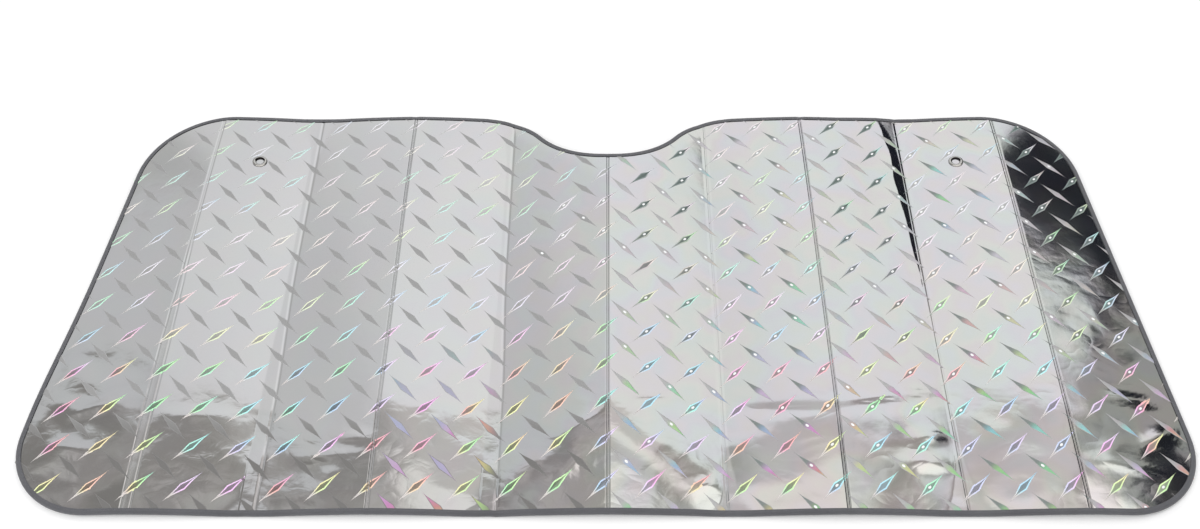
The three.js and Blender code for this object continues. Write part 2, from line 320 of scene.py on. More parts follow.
def leaning(columns, y):
    """The x of each column at y. Beyond the end creases they lean more and more, as the sides do."""
    corner = LOWER_RADIUS - SHEET_INSET - RIM_GAP
    side = lower_x + (corner - (y - lower_y) * math.sin(SIDE_LEAN)) / math.cos(SIDE_LEAN)
    share = np.clip((np.abs(columns) - LEAN_START) / (WIDEST_COLUMN - LEAN_START), 0, 1)
    return np.where(share > 0, np.sign(columns) * (LEAN_START + share * (side - LEAN_START)), columns)


def end_of_leaning(columns, end):
    """Where each column meets the outline, at its front end (0) or its back end (1)."""
    inside = np.zeros_like(columns)
    outside = inside + (end - 0.5) * DEPTH
    for halving in range(HALVINGS):
        middle = (inside + outside) / 2
        front, back = ends_of_column(leaning(columns, middle), SHEET_INSET)
        within = (middle > front) & (middle < back)
        inside = np.where(within, middle, inside)
        outside = np.where(within, outside, middle)
    return inside


def make_sheet():
    columns = make_columns()
    front, back = end_of_leaning(columns, 0), end_of_leaning(columns, 1)
    share = np.linspace(0, 1, ROWS)[:, None]
    y = front + (back - front) * share
    x = leaning(columns, y)
    top = laid(x, y, SHEET_TOP + sheet_height(x, y)).reshape(-1, 3)
    bottom = laid(x, y, SHEET_BOTTOM + folded(x, y)).reshape(-1, 3)
    place = np.arange(len(top)).reshape(ROWS, len(columns))
    quads = np.stack([place[:-1, :-1], place[:-1, 1:], place[1:, 1:], place[1:, :-1]], axis=-1)
    upper = quads.reshape(-1, 4)
    lower = upper[:, ::-1] + len(top)
    rim = np.concatenate([place[0], place[1:, -1], place[-1, -2::-1], place[-2:0:-1, 0]])
    after = np.roll(rim, -1)
    wall = np.stack([after, rim, rim + len(top), after + len(top)], axis=-1)
    faces = np.concatenate([upper, lower, wall]).tolist()
    piece = make_object("foil_sheet", np.concatenate([top, bottom]), faces)
    back_face = np.zeros(len(faces), int)
    back_face[len(upper):] = 1
    piece.data.polygons.foreach_set("material_index", back_face)
    return piece


class Socket:
    """An output of a node, which can be used in sums with others and with plain values."""

    def __init__(self, tree, source):
        self.tree = tree
        self.source = source

    def sum(self, operation, first, second):
        settings = {"operation": operation}
        return self.tree.node("ShaderNodeMath", settings, {0: first, 1: second})

    def __add__(self, other):
        return self.sum("ADD", self, other)

    def __radd__(self, other):
        return self.sum("ADD", other, self)

    def __sub__(self, other):
        return self.sum("SUBTRACT", self, other)

    def __rsub__(self, other):
        return self.sum("SUBTRACT", other, self)

    def __mul__(self, other):
        return self.sum("MULTIPLY", self, other)

    def __rmul__(self, other):
        return self.sum("MULTIPLY", other, self)

    def __truediv__(self, other):
        return self.sum("DIVIDE", self, other)

    def __gt__(self, other):
        return self.sum("GREATER_THAN", self, other)

    def math(self, operation, other=0.0):
        return self.sum(operation, self, other)

    def step(self, low, high):
        """0 at low, 1 at high and a soft step between them; high may be the lower one."""
        settings = {"interpolation_type": "SMOOTHSTEP"}
        inputs = {0: self, 1: low, 2: high, 3: 0.0, 4: 1.0}
        if low > high:
            inputs = {0: self, 1: high, 2: low, 3: 1.0, 4: 0.0}
        return self.tree.node("ShaderNodeMapRange", settings, inputs)


class Nodes:
    """A node tree that is written as sums of sockets."""

    def __init__(self, tree):
        self.tree = tree

    def node(self, kind, settings=None, inputs=None, output=0):
        made = self.tree.nodes.new(kind)
        for name, value in (settings or {}).items():
            if name == "stops":
                self.set_stops(made.color_ramp, value)
            else:
                setattr(made, name, value)
        for key, value in (inputs or {}).items():
            if isinstance(value, Socket):
                self.tree.links.new(value.source, made.inputs[key])
            else:
                made.inputs[key].default_value = value
        return Socket(self, made.outputs[output])

    def set_stops(self, ramp, stops):
        while len(ramp.elements) < len(stops):
            ramp.elements.new(1.0)
        for element, (position, color) in zip(ramp.elements, stops):
            element.position = position
            element.color = (*color, 1.0)

    def mix(self, share, first, second):
        """One colour changing into another."""
        settings = {"data_type": "RGBA"}
        inputs = {0: share, 6: paint(first), 7: paint(second)}
        return self.node("ShaderNodeMix", settings, inputs, output=2)

    def noise(self, place, scale, detail=2.0, roughness=0.5, **others):
        inputs = {"Vector": place, "Scale": scale, "Detail": detail, "Roughness": roughness, **others}
        return self.node("ShaderNodeTexNoise", {}, inputs)

    def hue_color(self, hue, saturation, value):
        inputs = {"Red": hue, "Green": saturation, "Blue": value}
        return self.node("ShaderNodeCombineColor", {"mode": "HSV"}, inputs)

    def split(self, vector):
        made = self.tree.nodes.new("ShaderNodeSeparateXYZ")
        self.tree.links.new(vector.source, made.inputs[0])
        return [Socket(self, output) for output in made.outputs]

    def bump(self, height, distance):
        return self.node("ShaderNodeBump", {}, {"Height": height, "Distance": distance})


def paint(color):
    """A colour of three values gets its fourth."""
    return color if isinstance(color, Socket) else (*color, 1.0)


def make_material(name, build):
    """A material whose Principled shader is filled in by build."""
    material = bpy.data.materials.new(name)
    material.use_nodes = True
    shader = material.node_tree.nodes["Principled BSDF"]
    nodes = Nodes(material.node_tree)
    place = nodes.node("ShaderNodeTexCoord", output="Object")
    for key, value in build(nodes, place).items():
        if isinstance(value, Socket):
            material.node_tree.links.new(value.source, shader.inputs[key])
        else:
            shader.inputs[key].default_value = value
    return material


FILM_COLOR = (0.90, 0.905, 0.91)
FILM_SHADE = (0.84, 0.845, 0.86)


def film(nodes, place):
    """Bright metallised film with fine wrinkles, looser towards the near edge, and a faint painted
    iridescent tint, stronger on the right of the sheet.
    """
    x, y, z = nodes.split(place)
    near = y.step(-0.10, -0.20)
    right = x.step(0.515, 0.54) * y.step(0.10, -0.10)
    left = x.step(-0.50, -0.58) * y.step(0.02, -0.10)
    loose = near.math("MAXIMUM", right.math("MAXIMUM", left))
    stretched = nodes.node("ShaderNodeVectorMath", {"operation": "MULTIPLY"},
                           {0: place, 1: (1.0, 1.3, 1.0)})
    creases = (nodes.noise(stretched, 17.0, Distortion=0.4) - 0.5).math("ABSOLUTE")
    fine = (nodes.noise(stretched, 48.0, Distortion=0.6) - 0.5).math("ABSOLUTE")
    grain = nodes.noise(place, 120.0)
    left_side = x.step(0.20, 0.00)
    height = creases * (0.07 + (0.10 + 0.09 * left_side) * loose)
    height = height + 0.05 * loose * left_side * fine + 0.01 * grain
    clouds = nodes.noise(place, 7.0)
    ribbon = (x + 4 * PANEL_WIDTH).math("ABSOLUTE").step(0.0052, 0.0042) * y.step(0.04, -0.06)
    plain = nodes.mix(clouds, FILM_COLOR, FILM_SHADE)
    # Painted iridescence: the film's diffraction colours fixed in place, stronger on the right of the
    # sheet
    hue = (4.0 * x - 3.0 * y + 2.6 * nodes.noise(place, 14.0, 2.0, 0.6)).math("FRACT")
    iridescent_tint = nodes.hue_color(hue, 0.12, 0.93)
    return {
        "Base Color": nodes.mix(0.08 + 0.26 * x.step(-0.30, 0.05), plain, iridescent_tint),
        "Metallic": 1.0,
        "Roughness": 0.05 + 0.06 * clouds + 0.15 * ribbon,
        "Normal": nodes.bump(height, 0.0022),
    }


def plain_backing(nodes, place):
    """The matt silver back of the laminate."""
    grain = nodes.noise(place, 420.0, 3.0, 0.6)
    return {
        "Base Color": nodes.mix(grain, (0.62, 0.63, 0.65), (0.74, 0.75, 0.77)),
        "Metallic": 0.5,
        "Roughness": 0.45,
        "Normal": nodes.bump(grain, 0.0003),
    }


foil_sheet = make_sheet()
foil_sheet.data.materials.append(make_material("metallised_film", film))
foil_sheet.data.materials.append(make_material("laminate_back", plain_backing))
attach(foil_sheet, "root")
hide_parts("shade_sheet")

# Tread pattern. Slim lozenges are pressed into the film in two directions, like tread plate, those
# that lean left on a square lattice and those that lean right in the middle of its squares. Their
# facets are ruled finely, so that they split light into slowly changing colours. These colours are
# painted in fixed, as painted iridescence, together with painted glints and painted reflections.
PITCH_X = 0.0505
PITCH_Y = 0.0498
PATTERN_X = 0.020
PATTERN_Y = 0.008
LOZENGE_LENGTH = 0.054
LEFT_WIDTH = 0.0086
LEFT_RIM = 0.0010
RIGHT_WIDTH = 0.0104
RIGHT_RIM = 0.0024
LOZENGE_RISE = 0.0004
LOZENGE_SINK = 0.0001
LOZENGE_END = 0.97
LOZENGE_TAPER = 1.12
SMALLEST_CORE = 0.12
CORE_RISE = 0.55
# Painted glints: small white discs on some lozenges, standing in for light caught by the film
GLINT_HALF_LENGTH = 0.00234
GLINT_HALF_WIDTH = 0.00144
GLINT_SIDES = 8
LEFT_GLINTS = 0.55
RIGHT_GLINTS = 0.95
GLINT_SEED = 4
LOZENGE_STEPS = 12
PATTERN_COLUMNS = 27
PATTERN_ROWS = 13
PATTERN_INSET = 0.0035
EYELET_X = 0.4555
EYELET_Y = DEPTH / 2 - 0.085
EYELET_SEAT = 0.0105
RIDGE_BENDS = (0.0016, 0.003)
VALLEY_BENDS = (0.0013, 0.004)
BODY, RIM, GLINT = range(3)


def add_attribute(mesh, name, values, domain="POINT", kind="FLOAT"):
    attribute = mesh.attributes.new(name, kind, domain)
    attribute.data.foreach_set("value", values)


def lozenge_template(name, width, rim, with_glint):
    """A lozenge along X, with its rim, its low body and, in some, a small white disc that is a painted
    glint.
    """
    half_length = LOZENGE_LENGTH / 2
    half_width = width / 2
    shares = np.linspace(-1, 1, LOZENGE_STEPS + 1)
    shares[0], shares[-1] = -LOZENGE_END, LOZENGE_END
    vertices = []
    for share in shares:
        edge = half_width * (1 - abs(share)) ** LOZENGE_TAPER
        inner = max(edge - rim, SMALLEST_CORE * edge)
        rise = LOZENGE_RISE * (1 - abs(share))
        x = share * half_length
        vertices += [(x, -edge, -LOZENGE_SINK), (x, -inner, CORE_RISE * rise), (x, 0, rise)]
        vertices += [(x, inner, CORE_RISE * rise), (x, edge, -LOZENGE_SINK)]
    faces, zones = [], []
    for step in range(LOZENGE_STEPS):
        start = 5 * step
        for k, zone in enumerate((RIM, BODY, BODY, RIM)):
            faces.append((start + k, start + k + 5, start + k + 6, start + k + 1))
            zones.append(zone)
        faces.append((start + 4, start + 9, start + 5, start))
        zones.append(BODY)
    faces += [(0, 1, 2, 3, 4), tuple(5 * LOZENGE_STEPS + k for k in (4, 3, 2, 1, 0))]
    zones += [RIM, RIM]
    if with_glint:
        first = len(vertices)
        second = first + GLINT_SIDES
        turns = [math.tau * k / GLINT_SIDES for k in range(GLINT_SIDES)]
        for height in (0.3 * LOZENGE_RISE, 1.3 * LOZENGE_RISE):
            vertices += [(GLINT_HALF_LENGTH * math.cos(turn), GLINT_HALF_WIDTH * math.sin(turn), height)
                         for turn in turns]
        faces += [tuple(reversed(range(first, second))), tuple(range(second, second + GLINT_SIDES))]
        for k in range(GLINT_SIDES):
            after = (k + 1) % GLINT_SIDES
            faces.append((first + k, first + after, second + after, second + k))
        zones += [GLINT] * (GLINT_SIDES + 2)
    piece = make_object(name, vertices, faces, smooth_faces=False)
    along = [v[0] / half_length for v in vertices]
    add_attribute(piece.data, "along", along)
    add_attribute(piece.data, "zone", zones, domain="FACE", kind="INT")
    return piece


def start_tree(name, labels):
    """A Geometry Nodes tree with named inputs: its nodes, its inputs and their identifiers."""
    tree = bpy.data.node_groups.new(name, "GeometryNodeTree")
    sockets = {}
    for label, kind in labels:
        item = tree.interface.new_socket(name=label, in_out="INPUT", socket_type="NodeSocket" + kind)
        sockets[label] = item.identifier
    tree.interface.new_socket(name="Geometry", in_out="OUTPUT", socket_type="NodeSocketGeometry")
    nodes = Nodes(tree)
    entry = tree.nodes.new("NodeGroupInput")
    inputs = {label: Socket(nodes, entry.outputs[label]) for label in sockets}
    return nodes, inputs, sockets


def end_tree(nodes, made):
    leave = nodes.tree.nodes.new("NodeGroupOutput")
    nodes.tree.links.new(made.source, leave.inputs[0])


def grow(piece, tree, sockets, values):
    """Gives the piece what the tree makes of it, as a plain mesh."""
    modifier = piece.modifiers.new("tree", "NODES")
    modifier.node_group = tree
    for label, value in values.items():
        modifier[sockets[label]] = value
    bpy.context.view_layer.update()
    graph = bpy.context.evaluated_depsgraph_get()
    mesh = bpy.data.meshes.new_from_object(piece.evaluated_get(graph), depsgraph=graph)
    piece.modifiers.clear()
    piece.data = mesh


def pattern_tree(name, materials, lean):
    """Lozenges on a lattice. Some of those on the right of the sheet carry a painted glint, at random,
    fewer towards the front.
    """
    nodes, inputs, sockets = start_tree(name, (
        ("Plain lozenge", "Object"),
        ("Glint lozenge", "Object"),
        ("Pitch X", "Float"),
        ("Pitch Y", "Float"),
        ("Columns", "Int"),
        ("Rows", "Int"),
        ("Middle", "Vector"),
        ("Glint share", "Float"),
        ("Seed", "Int"),
    ))
    columns, rows = inputs["Columns"], inputs["Rows"]
    grid = nodes.node("GeometryNodeMeshGrid", {}, {
        "Size X": (columns - 1) * inputs["Pitch X"],
        "Size Y": (rows - 1) * inputs["Pitch Y"],
        "Vertices X": columns,
        "Vertices Y": rows,
    })
    moved = nodes.node("GeometryNodeTransform", {}, {"Geometry": grid, "Translation": inputs["Middle"]})
    place = nodes.node("GeometryNodeInputPosition")
    x, y, z = nodes.split(place)
    chance = nodes.node("FunctionNodeRandomValue", {"data_type": "FLOAT"},
                        {"Seed": inputs["Seed"]}, output=1)
    glinting = (x.step(-0.12, 0.10) * (1 - 0.7 * y.step(-0.08, -0.20)) * inputs["Glint share"]) > chance
    parts = []
    for label, chosen in (("Plain lozenge", 1 - glinting), ("Glint lozenge", glinting)):
        info = nodes.node("GeometryNodeObjectInfo", {}, {"Object": inputs[label]}, output="Geometry")
        parts.append(nodes.node("GeometryNodeInstanceOnPoints", {}, {
            "Points": moved, "Selection": chosen, "Instance": info,
            "Rotation": (0.0, 0.0, lean),
        }))
    join = nodes.tree.nodes.new("GeometryNodeJoinGeometry")
    for part in parts:
        nodes.tree.links.new(part.source, join.inputs[0])
    made = nodes.node("GeometryNodeRealizeInstances", {}, {"Geometry": Socket(nodes, join.outputs[0])})
    zone = nodes.node("GeometryNodeInputNamedAttribute", {"data_type": "INT"}, {"Name": "zone"})
    for number, material in enumerate(materials):
        chosen = nodes.node("FunctionNodeCompare", {"data_type": "INT", "operation": "EQUAL"},
                            {2: zone, 3: number})
        made = nodes.node("GeometryNodeSetMaterial", {}, {
            "Geometry": made, "Selection": chosen, "Material": material,
        })
    end_tree(nodes, made)
    return nodes.tree, sockets


def press_lines():
    """The lines along which a pressed lozenge bends with the sheet."""
    lines = []
    for line in range(-4, 5):
        inner, outer = VALLEY_BENDS if line % 2 else RIDGE_BENDS
        lines += [line * PANEL_WIDTH + offset for offset in (-outer, -inner, inner, outer)]
    return lines


def open_edges(work):
    return [edge for edge in work.edges if len(edge.link_faces) == 1]


def lay_on_sheet(piece):
    """Cuts a flat pattern to the outline under the tape and lays it on the folded sheet."""
    work = bmesh.new()
    work.from_mesh(piece.data)
    for x in press_lines():
        near = [f for f in work.faces if min(v.co.x for v in f.verts) < x < max(v.co.x for v in f.verts)]
        edges = {e for f in near for e in f.edges}
        geometry = near + list(edges) + list({v for e in edges for v in e.verts})
        bmesh.ops.bisect_plane(work, geom=geometry, plane_co=(x, 0, 0), plane_no=(1, 0, 0), dist=1e-6)
    middles = np.array([f.calc_center_median() for f in work.faces])
    outside = distance_inside(middles[:, 0], middles[:, 1]) < PATTERN_INSET
    for side in (-1, 1):
        away = np.hypot(middles[:, 0] - side * EYELET_X, middles[:, 1] - EYELET_Y)
        outside |= away < EYELET_SEAT
    bmesh.ops.delete(work, geom=[f for f, out in zip(list(work.faces), outside) if out], context="FACES")
    bmesh.ops.holes_fill(work, edges=open_edges(work), sides=0)
    bmesh.ops.triangle_fill(work, edges=open_edges(work), use_beauty=True)
    bmesh.ops.recalc_face_normals(work, faces=work.faces)
    x, y, z = np.array([v.co for v in work.verts]).T
    for vertex, place in zip(work.verts, laid(x, y, z + SHEET_TOP + sheet_height(x, y))):
        vertex.co = place
    work.to_mesh(piece.data)
    work.free()


def painted_iridescence(nodes, place, phase, saturation, value):
    """Painted iridescence: the ruled film's diffraction colours fixed in place, whose hue turns across
    the sheet and towards its near edge.
    """
    x, y, z = nodes.split(place)
    drift = nodes.noise(place, 9.0, 1.0)
    hue = (2.4 * x - 2.2 * y + 1.5 * drift + phase).math("FRACT")
    flash = (hue - 0.42).math("ABSOLUTE").step(0.30, 0.12)
    front = y.step(0.10, -0.18)
    violet = (hue - 0.72).math("ABSOLUTE").step(0.16, 0.06)
    vivid = saturation * (0.35 + 0.65 * flash.math("MAXIMUM", front)) * (1 - 0.45 * violet)
    return nodes.hue_color(hue, vivid, value)


def local(nodes, name):
    return nodes.node("ShaderNodeAttribute", {"attribute_name": name}, output="Fac")


def faces_left(nodes, x):
    """1 on the panels that face left, from a valley up to the ridge on its right."""
    return (x / (2 * PANEL_WIDTH)).math("FRACT") > 0.5


def right_body(nodes, place):
    """Right-leaning lozenge: grey lower half, brighter upper half in painted iridescence, split as a
    painted highlight falls. On the right of the sheet, panels that face right carry a painted dark
    reflection.
    """
    x, y, z = nodes.split(place)
    along = local(nodes, "along")
    # Painted dark reflection: on the right of the sheet, lozenges on panels that face right are dark
    painted_dark_reflection = x.step(-0.10, 0.02) * (1 - 0.75 * faces_left(nodes, x))
    front = y.step(0.02, -0.18)
    core = painted_iridescence(nodes, place, 0.33, 0.30, 0.45)
    dark = nodes.mix(painted_dark_reflection, (0.74, 0.74, 0.74), (0.15, 0.19, 0.18))
    right_cored = 0.5 * x.step(-0.02, 0.02) * y.step(0.12, 0.0)
    # Painted highlight: near the front, the upper part of each lozenge takes the painted iridescence
    cored = (along.step(-0.52, -0.30) * front).math("MAXIMUM", right_cored)
    return {
        "Base Color": nodes.mix(cored, dark, core),
        "Metallic": 0.85 - 0.45 * painted_dark_reflection,
        "Roughness": 0.28,
    }


def right_rim(nodes, place):
    """Thin bright outline, strongest along the upper half and near the front of the sheet: a painted
    highlight in painted iridescence, with a painted dark reflection on panels that face right.
    """
    x, y, z = nodes.split(place)
    along = local(nodes, "along")
    bold = y.step(0.22, -0.18)
    upper = along.step(-0.60, -0.10)
    # Painted dark reflection on the panels that face right, on the right of the sheet, away from the
    # front
    painted_dark_reflection = x.step(-0.10, 0.02) * (1 - faces_left(nodes, x)) * (1 - bold)
    color = painted_iridescence(nodes, place, 0.33, 0.34 + 0.14 * bold, 1.0)
    quiet = nodes.mix(bold, (0.60, 0.61, 0.61), (0.76, 0.70, 0.68))
    quiet = nodes.mix(painted_dark_reflection, quiet, (0.22, 0.27, 0.26))
    # Painted highlight along the upper half of the outline
    painted_rim_highlight = upper * (0.75 + 0.25 * bold) * (1 - painted_dark_reflection * along.step(0.45, 0.05))
    return {
        "Base Color": nodes.mix(painted_rim_highlight, quiet, color),
        "Metallic": 0.0,
        "Roughness": 0.5,
    }


def left_body(nodes, place):
    """Left-leaning lozenge: plain grey on the left of the sheet, half tinted with painted iridescence on
    the right. Painted dark reflections darken it near the front on the left, and on the panels that face
    left on the right.
    """
    x, y, z = nodes.split(place)
    along = local(nodes, "along")
    front = y.step(-0.02, -0.20)
    left_patch = front * x.step(-0.27, -0.25) * x.step(-0.12, -0.14)
    iridescent_share = (x.step(-0.01, 0.01) * along.step(-0.3, 0.25)).math("MAXIMUM", left_patch)
    color = painted_iridescence(nodes, place, 0.10, 0.50 + 0.06 * front, 0.66)
    facing_left = faces_left(nodes, x)
    # Painted dark reflection: on the right of the sheet, lozenges on panels that face left are dark
    light = nodes.mix(x.step(0.50, 0.52), (0.48, 0.48, 0.48), (0.46, 0.45, 0.46))
    right_side = nodes.mix(facing_left, light, (0.24, 0.27, 0.26))
    # Painted dark reflection near the front on the left of the sheet
    near_left = nodes.mix(y.step(-0.15, -0.23), (0.365, 0.365, 0.365), (0.20, 0.195, 0.19))
    grey = nodes.mix(x.step(-0.02, 0.02), near_left, right_side)
    return {
        "Base Color": nodes.mix(iridescent_share * (0.35 + 0.5 * facing_left.math("MAXIMUM", front)), grey, color),
        "Metallic": 0.15,
        "Roughness": 0.45,
    }


def left_rim(nodes, place):
    """The left-leaning lozenge fades into the film round it along its edges; near the front on the left
    it carries a painted dark reflection.
    """
    x, y, z = nodes.split(place)
    # Painted dark reflection near the front on the left
    near_left = y.step(-0.15, -0.23) * x.step(0.02, -0.02)
    return {
        "Base Color": nodes.mix(near_left, (0.50, 0.50, 0.505), (0.27, 0.265, 0.26)),
        "Metallic": 0.4,
        "Roughness": 0.4,
    }


# Painted glint: a plain white disc standing in for light caught by the film
def painted_glint(nodes, place):
    return {"Base Color": (0.95, 0.96, 0.96, 1.0), "Metallic": 0.0, "Roughness": 0.3}


painted_glint_film = make_material("film_painted_glint", painted_glint)
left_films = (make_material("film_left_lozenge", left_body),
              make_material("film_left_lozenge_rim", left_rim), painted_glint_film)
right_films = (make_material("film_right_lozenge", right_body),
               make_material("film_lozenge_rim", right_rim), painted_glint_film)

for name, lean, offset, share, width, rim, films in (
    ("tread_left", -math.pi / 4, 0.0, LEFT_GLINTS, LEFT_WIDTH, LEFT_RIM, left_films),
    ("tread_right", math.pi / 4, 0.5, RIGHT_GLINTS, RIGHT_WIDTH, RIGHT_RIM, right_films),
):
    plain = lozenge_template("plain_lozenge", width, rim, False)
    glint_lozenge = lozenge_template("spark_lozenge", width, rim, True)
    pattern = make_object(name, [(0, 0, 0)], [])
    tree, sockets = pattern_tree(name, films, lean)
    middle_x = PATTERN_X + offset * PITCH_X
    middle_y = PATTERN_Y - DEPTH / 2 + (PATTERN_ROWS // 2 + offset) * PITCH_Y
    grow(pattern, tree, sockets, {
        "Plain lozenge": plain,
        "Glint lozenge": glint_lozenge,
        "Pitch X": PITCH_X,
        "Pitch Y": PITCH_Y,
        "Columns": PATTERN_COLUMNS,
        "Rows": PATTERN_ROWS,
        "Middle": (middle_x, middle_y, 0.0),
        "Glint share": share,
        "Seed": GLINT_SEED,
    })
    bpy.data.objects.remove(plain)
    bpy.data.objects.remove(glint_lozenge)
    lay_on_sheet(pattern)
    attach(pattern, "root")

# Edge tape. One length of grey woven tape is folded over the raw edge of the laminate all round,
# and a seam through both of its legs holds it.
MM = 0.001
TAPE_SPACING = 0.006
# Its section: how far in from the outline, and how high, in millimetres
TAPE_SECTION = (
    (6.10, 4.45), (6.10, 4.95), (5.80, 5.15), (5.10, 5.20), (4.50, 5.02), (3.90, 5.20), (2.60, 5.20),
    (1.40, 5.02), (0.55, 4.35), (0.08, 3.40), (0.00, 2.60), (0.08, 1.80), (0.55, 0.85), (1.40, 0.18),
    (2.60, 0.00), (5.80, 0.00), (6.10, 0.25), (6.10, 0.75), (2.80, 0.80), (1.10, 1.30), (0.80, 2.60),
    (1.10, 3.90), (2.80, 4.40),
)
SHORTEST_JOIN = 1e-6


def outline_arcs(inset):
    """The outline's arcs as (centre, radius, start, end), counter-clockwise from the front right."""
    lower = LOWER_RADIUS - inset
    upper = UPPER_RADIUS - inset
    shoulder = SHOULDER_RADIUS - inset
    hollow = hollow_radius + inset
    quarter = math.pi / 2
    right = [
        ((lower_x, lower_y), lower, -quarter, SIDE_LEAN),
        ((upper_x, upper_y), upper, SIDE_LEAN, quarter),
        ((NOTCH_HALF_WIDTH, shoulder_y), shoulder, quarter, math.pi - notch_turn),
        ((0, hollow_y), hollow, -notch_turn, -quarter),
    ]
    left = [((-x, y), r, math.pi - end, math.pi - start) for (x, y), r, start, end in right[::-1]]
    return right + left


def on_arc(arc, angle):
    (x, y), radius, start, end = arc
    return np.array((x + radius * math.cos(angle), y + radius * math.sin(angle)))


def outline_points(inset, spacing):
    """Points along the outline moved inwards, as many for any inset."""
    points = []
    arcs = outline_arcs(inset)
    plain = outline_arcs(0)
    for k, (arc, plain_arc) in enumerate(zip(arcs, plain)):
        middle, radius, start, end = plain_arc
        turns = max(int(abs(end - start) * radius / spacing), 2)
        points += [on_arc(arc, angle) for angle in np.linspace(start, end, turns + 1)[:-1]]
        after = (k + 1) % len(arcs)
        next_start = plain[after][2]
        gap = math.dist(on_arc(plain_arc, end), on_arc(plain[after], next_start))
        steps = max(int(gap / spacing), 1) if gap > SHORTEST_JOIN else 0
        last = on_arc(arc, end)
        join = on_arc(arcs[after], next_start) - last
        points += [last + join * (step / steps) for step in range(steps)]
    return np.array(points)


def woven(nodes, place):
    """Slate grey polyester tape: fine crosswise ribs and a cloudy tone."""
    u, v, w = nodes.split(nodes.node("ShaderNodeUVMap", {"uv_map": "length_and_width"}))
    ribs = (u * (math.tau / 0.0011)).math("SINE")
    threads = (v * (math.tau / 0.0008)).math("SINE")
    weave = ribs * threads
    clouds = nodes.noise(place, 22.0, 3.0, 0.6)
    return {
        "Base Color": nodes.mix(clouds + 0.12 * weave, (0.098, 0.099, 0.110), (0.165, 0.166, 0.182)),
        "Roughness": 0.82,
        "Sheen Weight": 0.25,
        "Normal": nodes.bump(weave, 0.00022),
    }


def make_tape():
    section = np.array(TAPE_SECTION) * MM
    rings = [outline_points(inset, TAPE_SPACING) for inset, _ in section]
    stations = len(rings[0])
    around = len(section)
    vertices = []
    for ring, (_, height) in zip(rings, section):
        x, y = ring.T
        vertices.append(laid(x, y, height + folded(x, y)))
    vertices = np.concatenate(vertices)
    lengths = np.concatenate([[0], np.cumsum(np.linalg.norm(np.diff(rings[0], axis=0), axis=1))])
    widths = np.concatenate([[0], np.cumsum(np.linalg.norm(np.diff(section, axis=0), axis=1))])
    faces, uvs = [], []
    for k in range(around):
        after = (k + 1) % around
        for s in range(stations):
            later = (s + 1) % stations
            faces.append((k * stations + s, after * stations + s,
                          after * stations + later, k * stations + later))
            u0, u1 = lengths[s], lengths[s] + TAPE_SPACING
            v0 = widths[k]
            v1 = widths[k] + np.linalg.norm(section[after] - section[k])
            uvs += [(u0, v0), (u0, v1), (u1, v1), (u1, v0)]
    piece = make_object("woven_tape", vertices, faces)
    layer = piece.data.uv_layers.new(name="length_and_width")
    layer.data.foreach_set("uv", np.array(uvs).ravel())
    return piece


woven_tape = make_tape()
woven_tape.data.materials.append(make_material("slate_tape", woven))
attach(woven_tape, "root")
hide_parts("edge_binding")

# Seam. A lockstitch in slate polyester thread runs all round through both legs of the tape, and
# each stitch dips into the weave at its ends.
SEAM_INSET = 0.0045
SEAM_TOP = 0.00512
SEAM_BOTTOM = -0.00002
STITCH_PITCH = 0.0034
STITCH_LENGTH = 0.0029
STITCH_DIP = 0.00025
THREAD_RADIUS = 0.0002
THREAD_SIDES = 5


def stitch_template(name, dip):
    """A short length of thread along X whose ends sink by dip."""
    vertices, faces = [], []
    for share in (-1.0, -0.7, 0.0, 0.7, 1.0):
        radius = THREAD_RADIUS * (0.55 if abs(share) == 1 else 1)
        for k in range(THREAD_SIDES):
            angle = math.tau * k / THREAD_SIDES
            vertices.append((share * STITCH_LENGTH / 2, radius * math.cos(angle),
                             radius * math.sin(angle) - dip * share**2))
    rings = len(vertices) // THREAD_SIDES
    for ring in range(rings - 1):
        for k in range(THREAD_SIDES):
            start = ring * THREAD_SIDES
            after = (k + 1) % THREAD_SIDES
            faces.append((start + after, start + THREAD_SIDES + after,
                          start + THREAD_SIDES + k, start + k))
    faces.append(tuple(reversed(range(THREAD_SIDES))))
    faces.append(tuple(range((rings - 1) * THREAD_SIDES, rings * THREAD_SIDES)))
    return make_object(name, vertices, faces)


def seam_tree(material):
    """Stitches along a closed line, each turned to the line's own direction."""
    nodes, inputs, sockets = start_tree("seam", (
        ("Line", "Geometry"),
        ("Stitch", "Object"),
        ("Pitch", "Float"),
    ))
    curve = nodes.node("GeometryNodeMeshToCurve", {}, {"Mesh": inputs["Line"]})
    even = nodes.node("GeometryNodeResampleCurve", {"mode": "LENGTH"},
                      {"Curve": curve, "Length": inputs["Pitch"]})
    tangent = nodes.node("GeometryNodeInputTangent")
    level = nodes.node("FunctionNodeAlignRotationToVector", {"axis": "X", "pivot_axis": "Z"},
                       {"Vector": tangent})
    turn = nodes.node("FunctionNodeAlignRotationToVector", {"axis": "X", "pivot_axis": "Y"},
                      {"Rotation": level, "Vector": tangent})
    shape = nodes.node("GeometryNodeObjectInfo", {}, {"Object": inputs["Stitch"]}, output="Geometry")
    row = nodes.node("GeometryNodeInstanceOnPoints", {},
                     {"Points": even, "Instance": shape, "Rotation": turn})
    made = nodes.node("GeometryNodeRealizeInstances", {}, {"Geometry": row})
    end_tree(nodes, nodes.node("GeometryNodeSetMaterial", {}, {"Geometry": made, "Material": material}))
    return nodes.tree, sockets


def twisted(nodes, place):
    """Slate thread, a little paler than the tape, with the sheen of polyester."""
    fibres = nodes.noise(place, 1500.0, 2.0, 0.6)
    return {
        "Base Color": nodes.mix(fibres, (0.13, 0.13, 0.145), (0.22, 0.22, 0.24)),
        "Roughness": 0.55,
        "Normal": nodes.bump(fibres, 0.00005),
    }


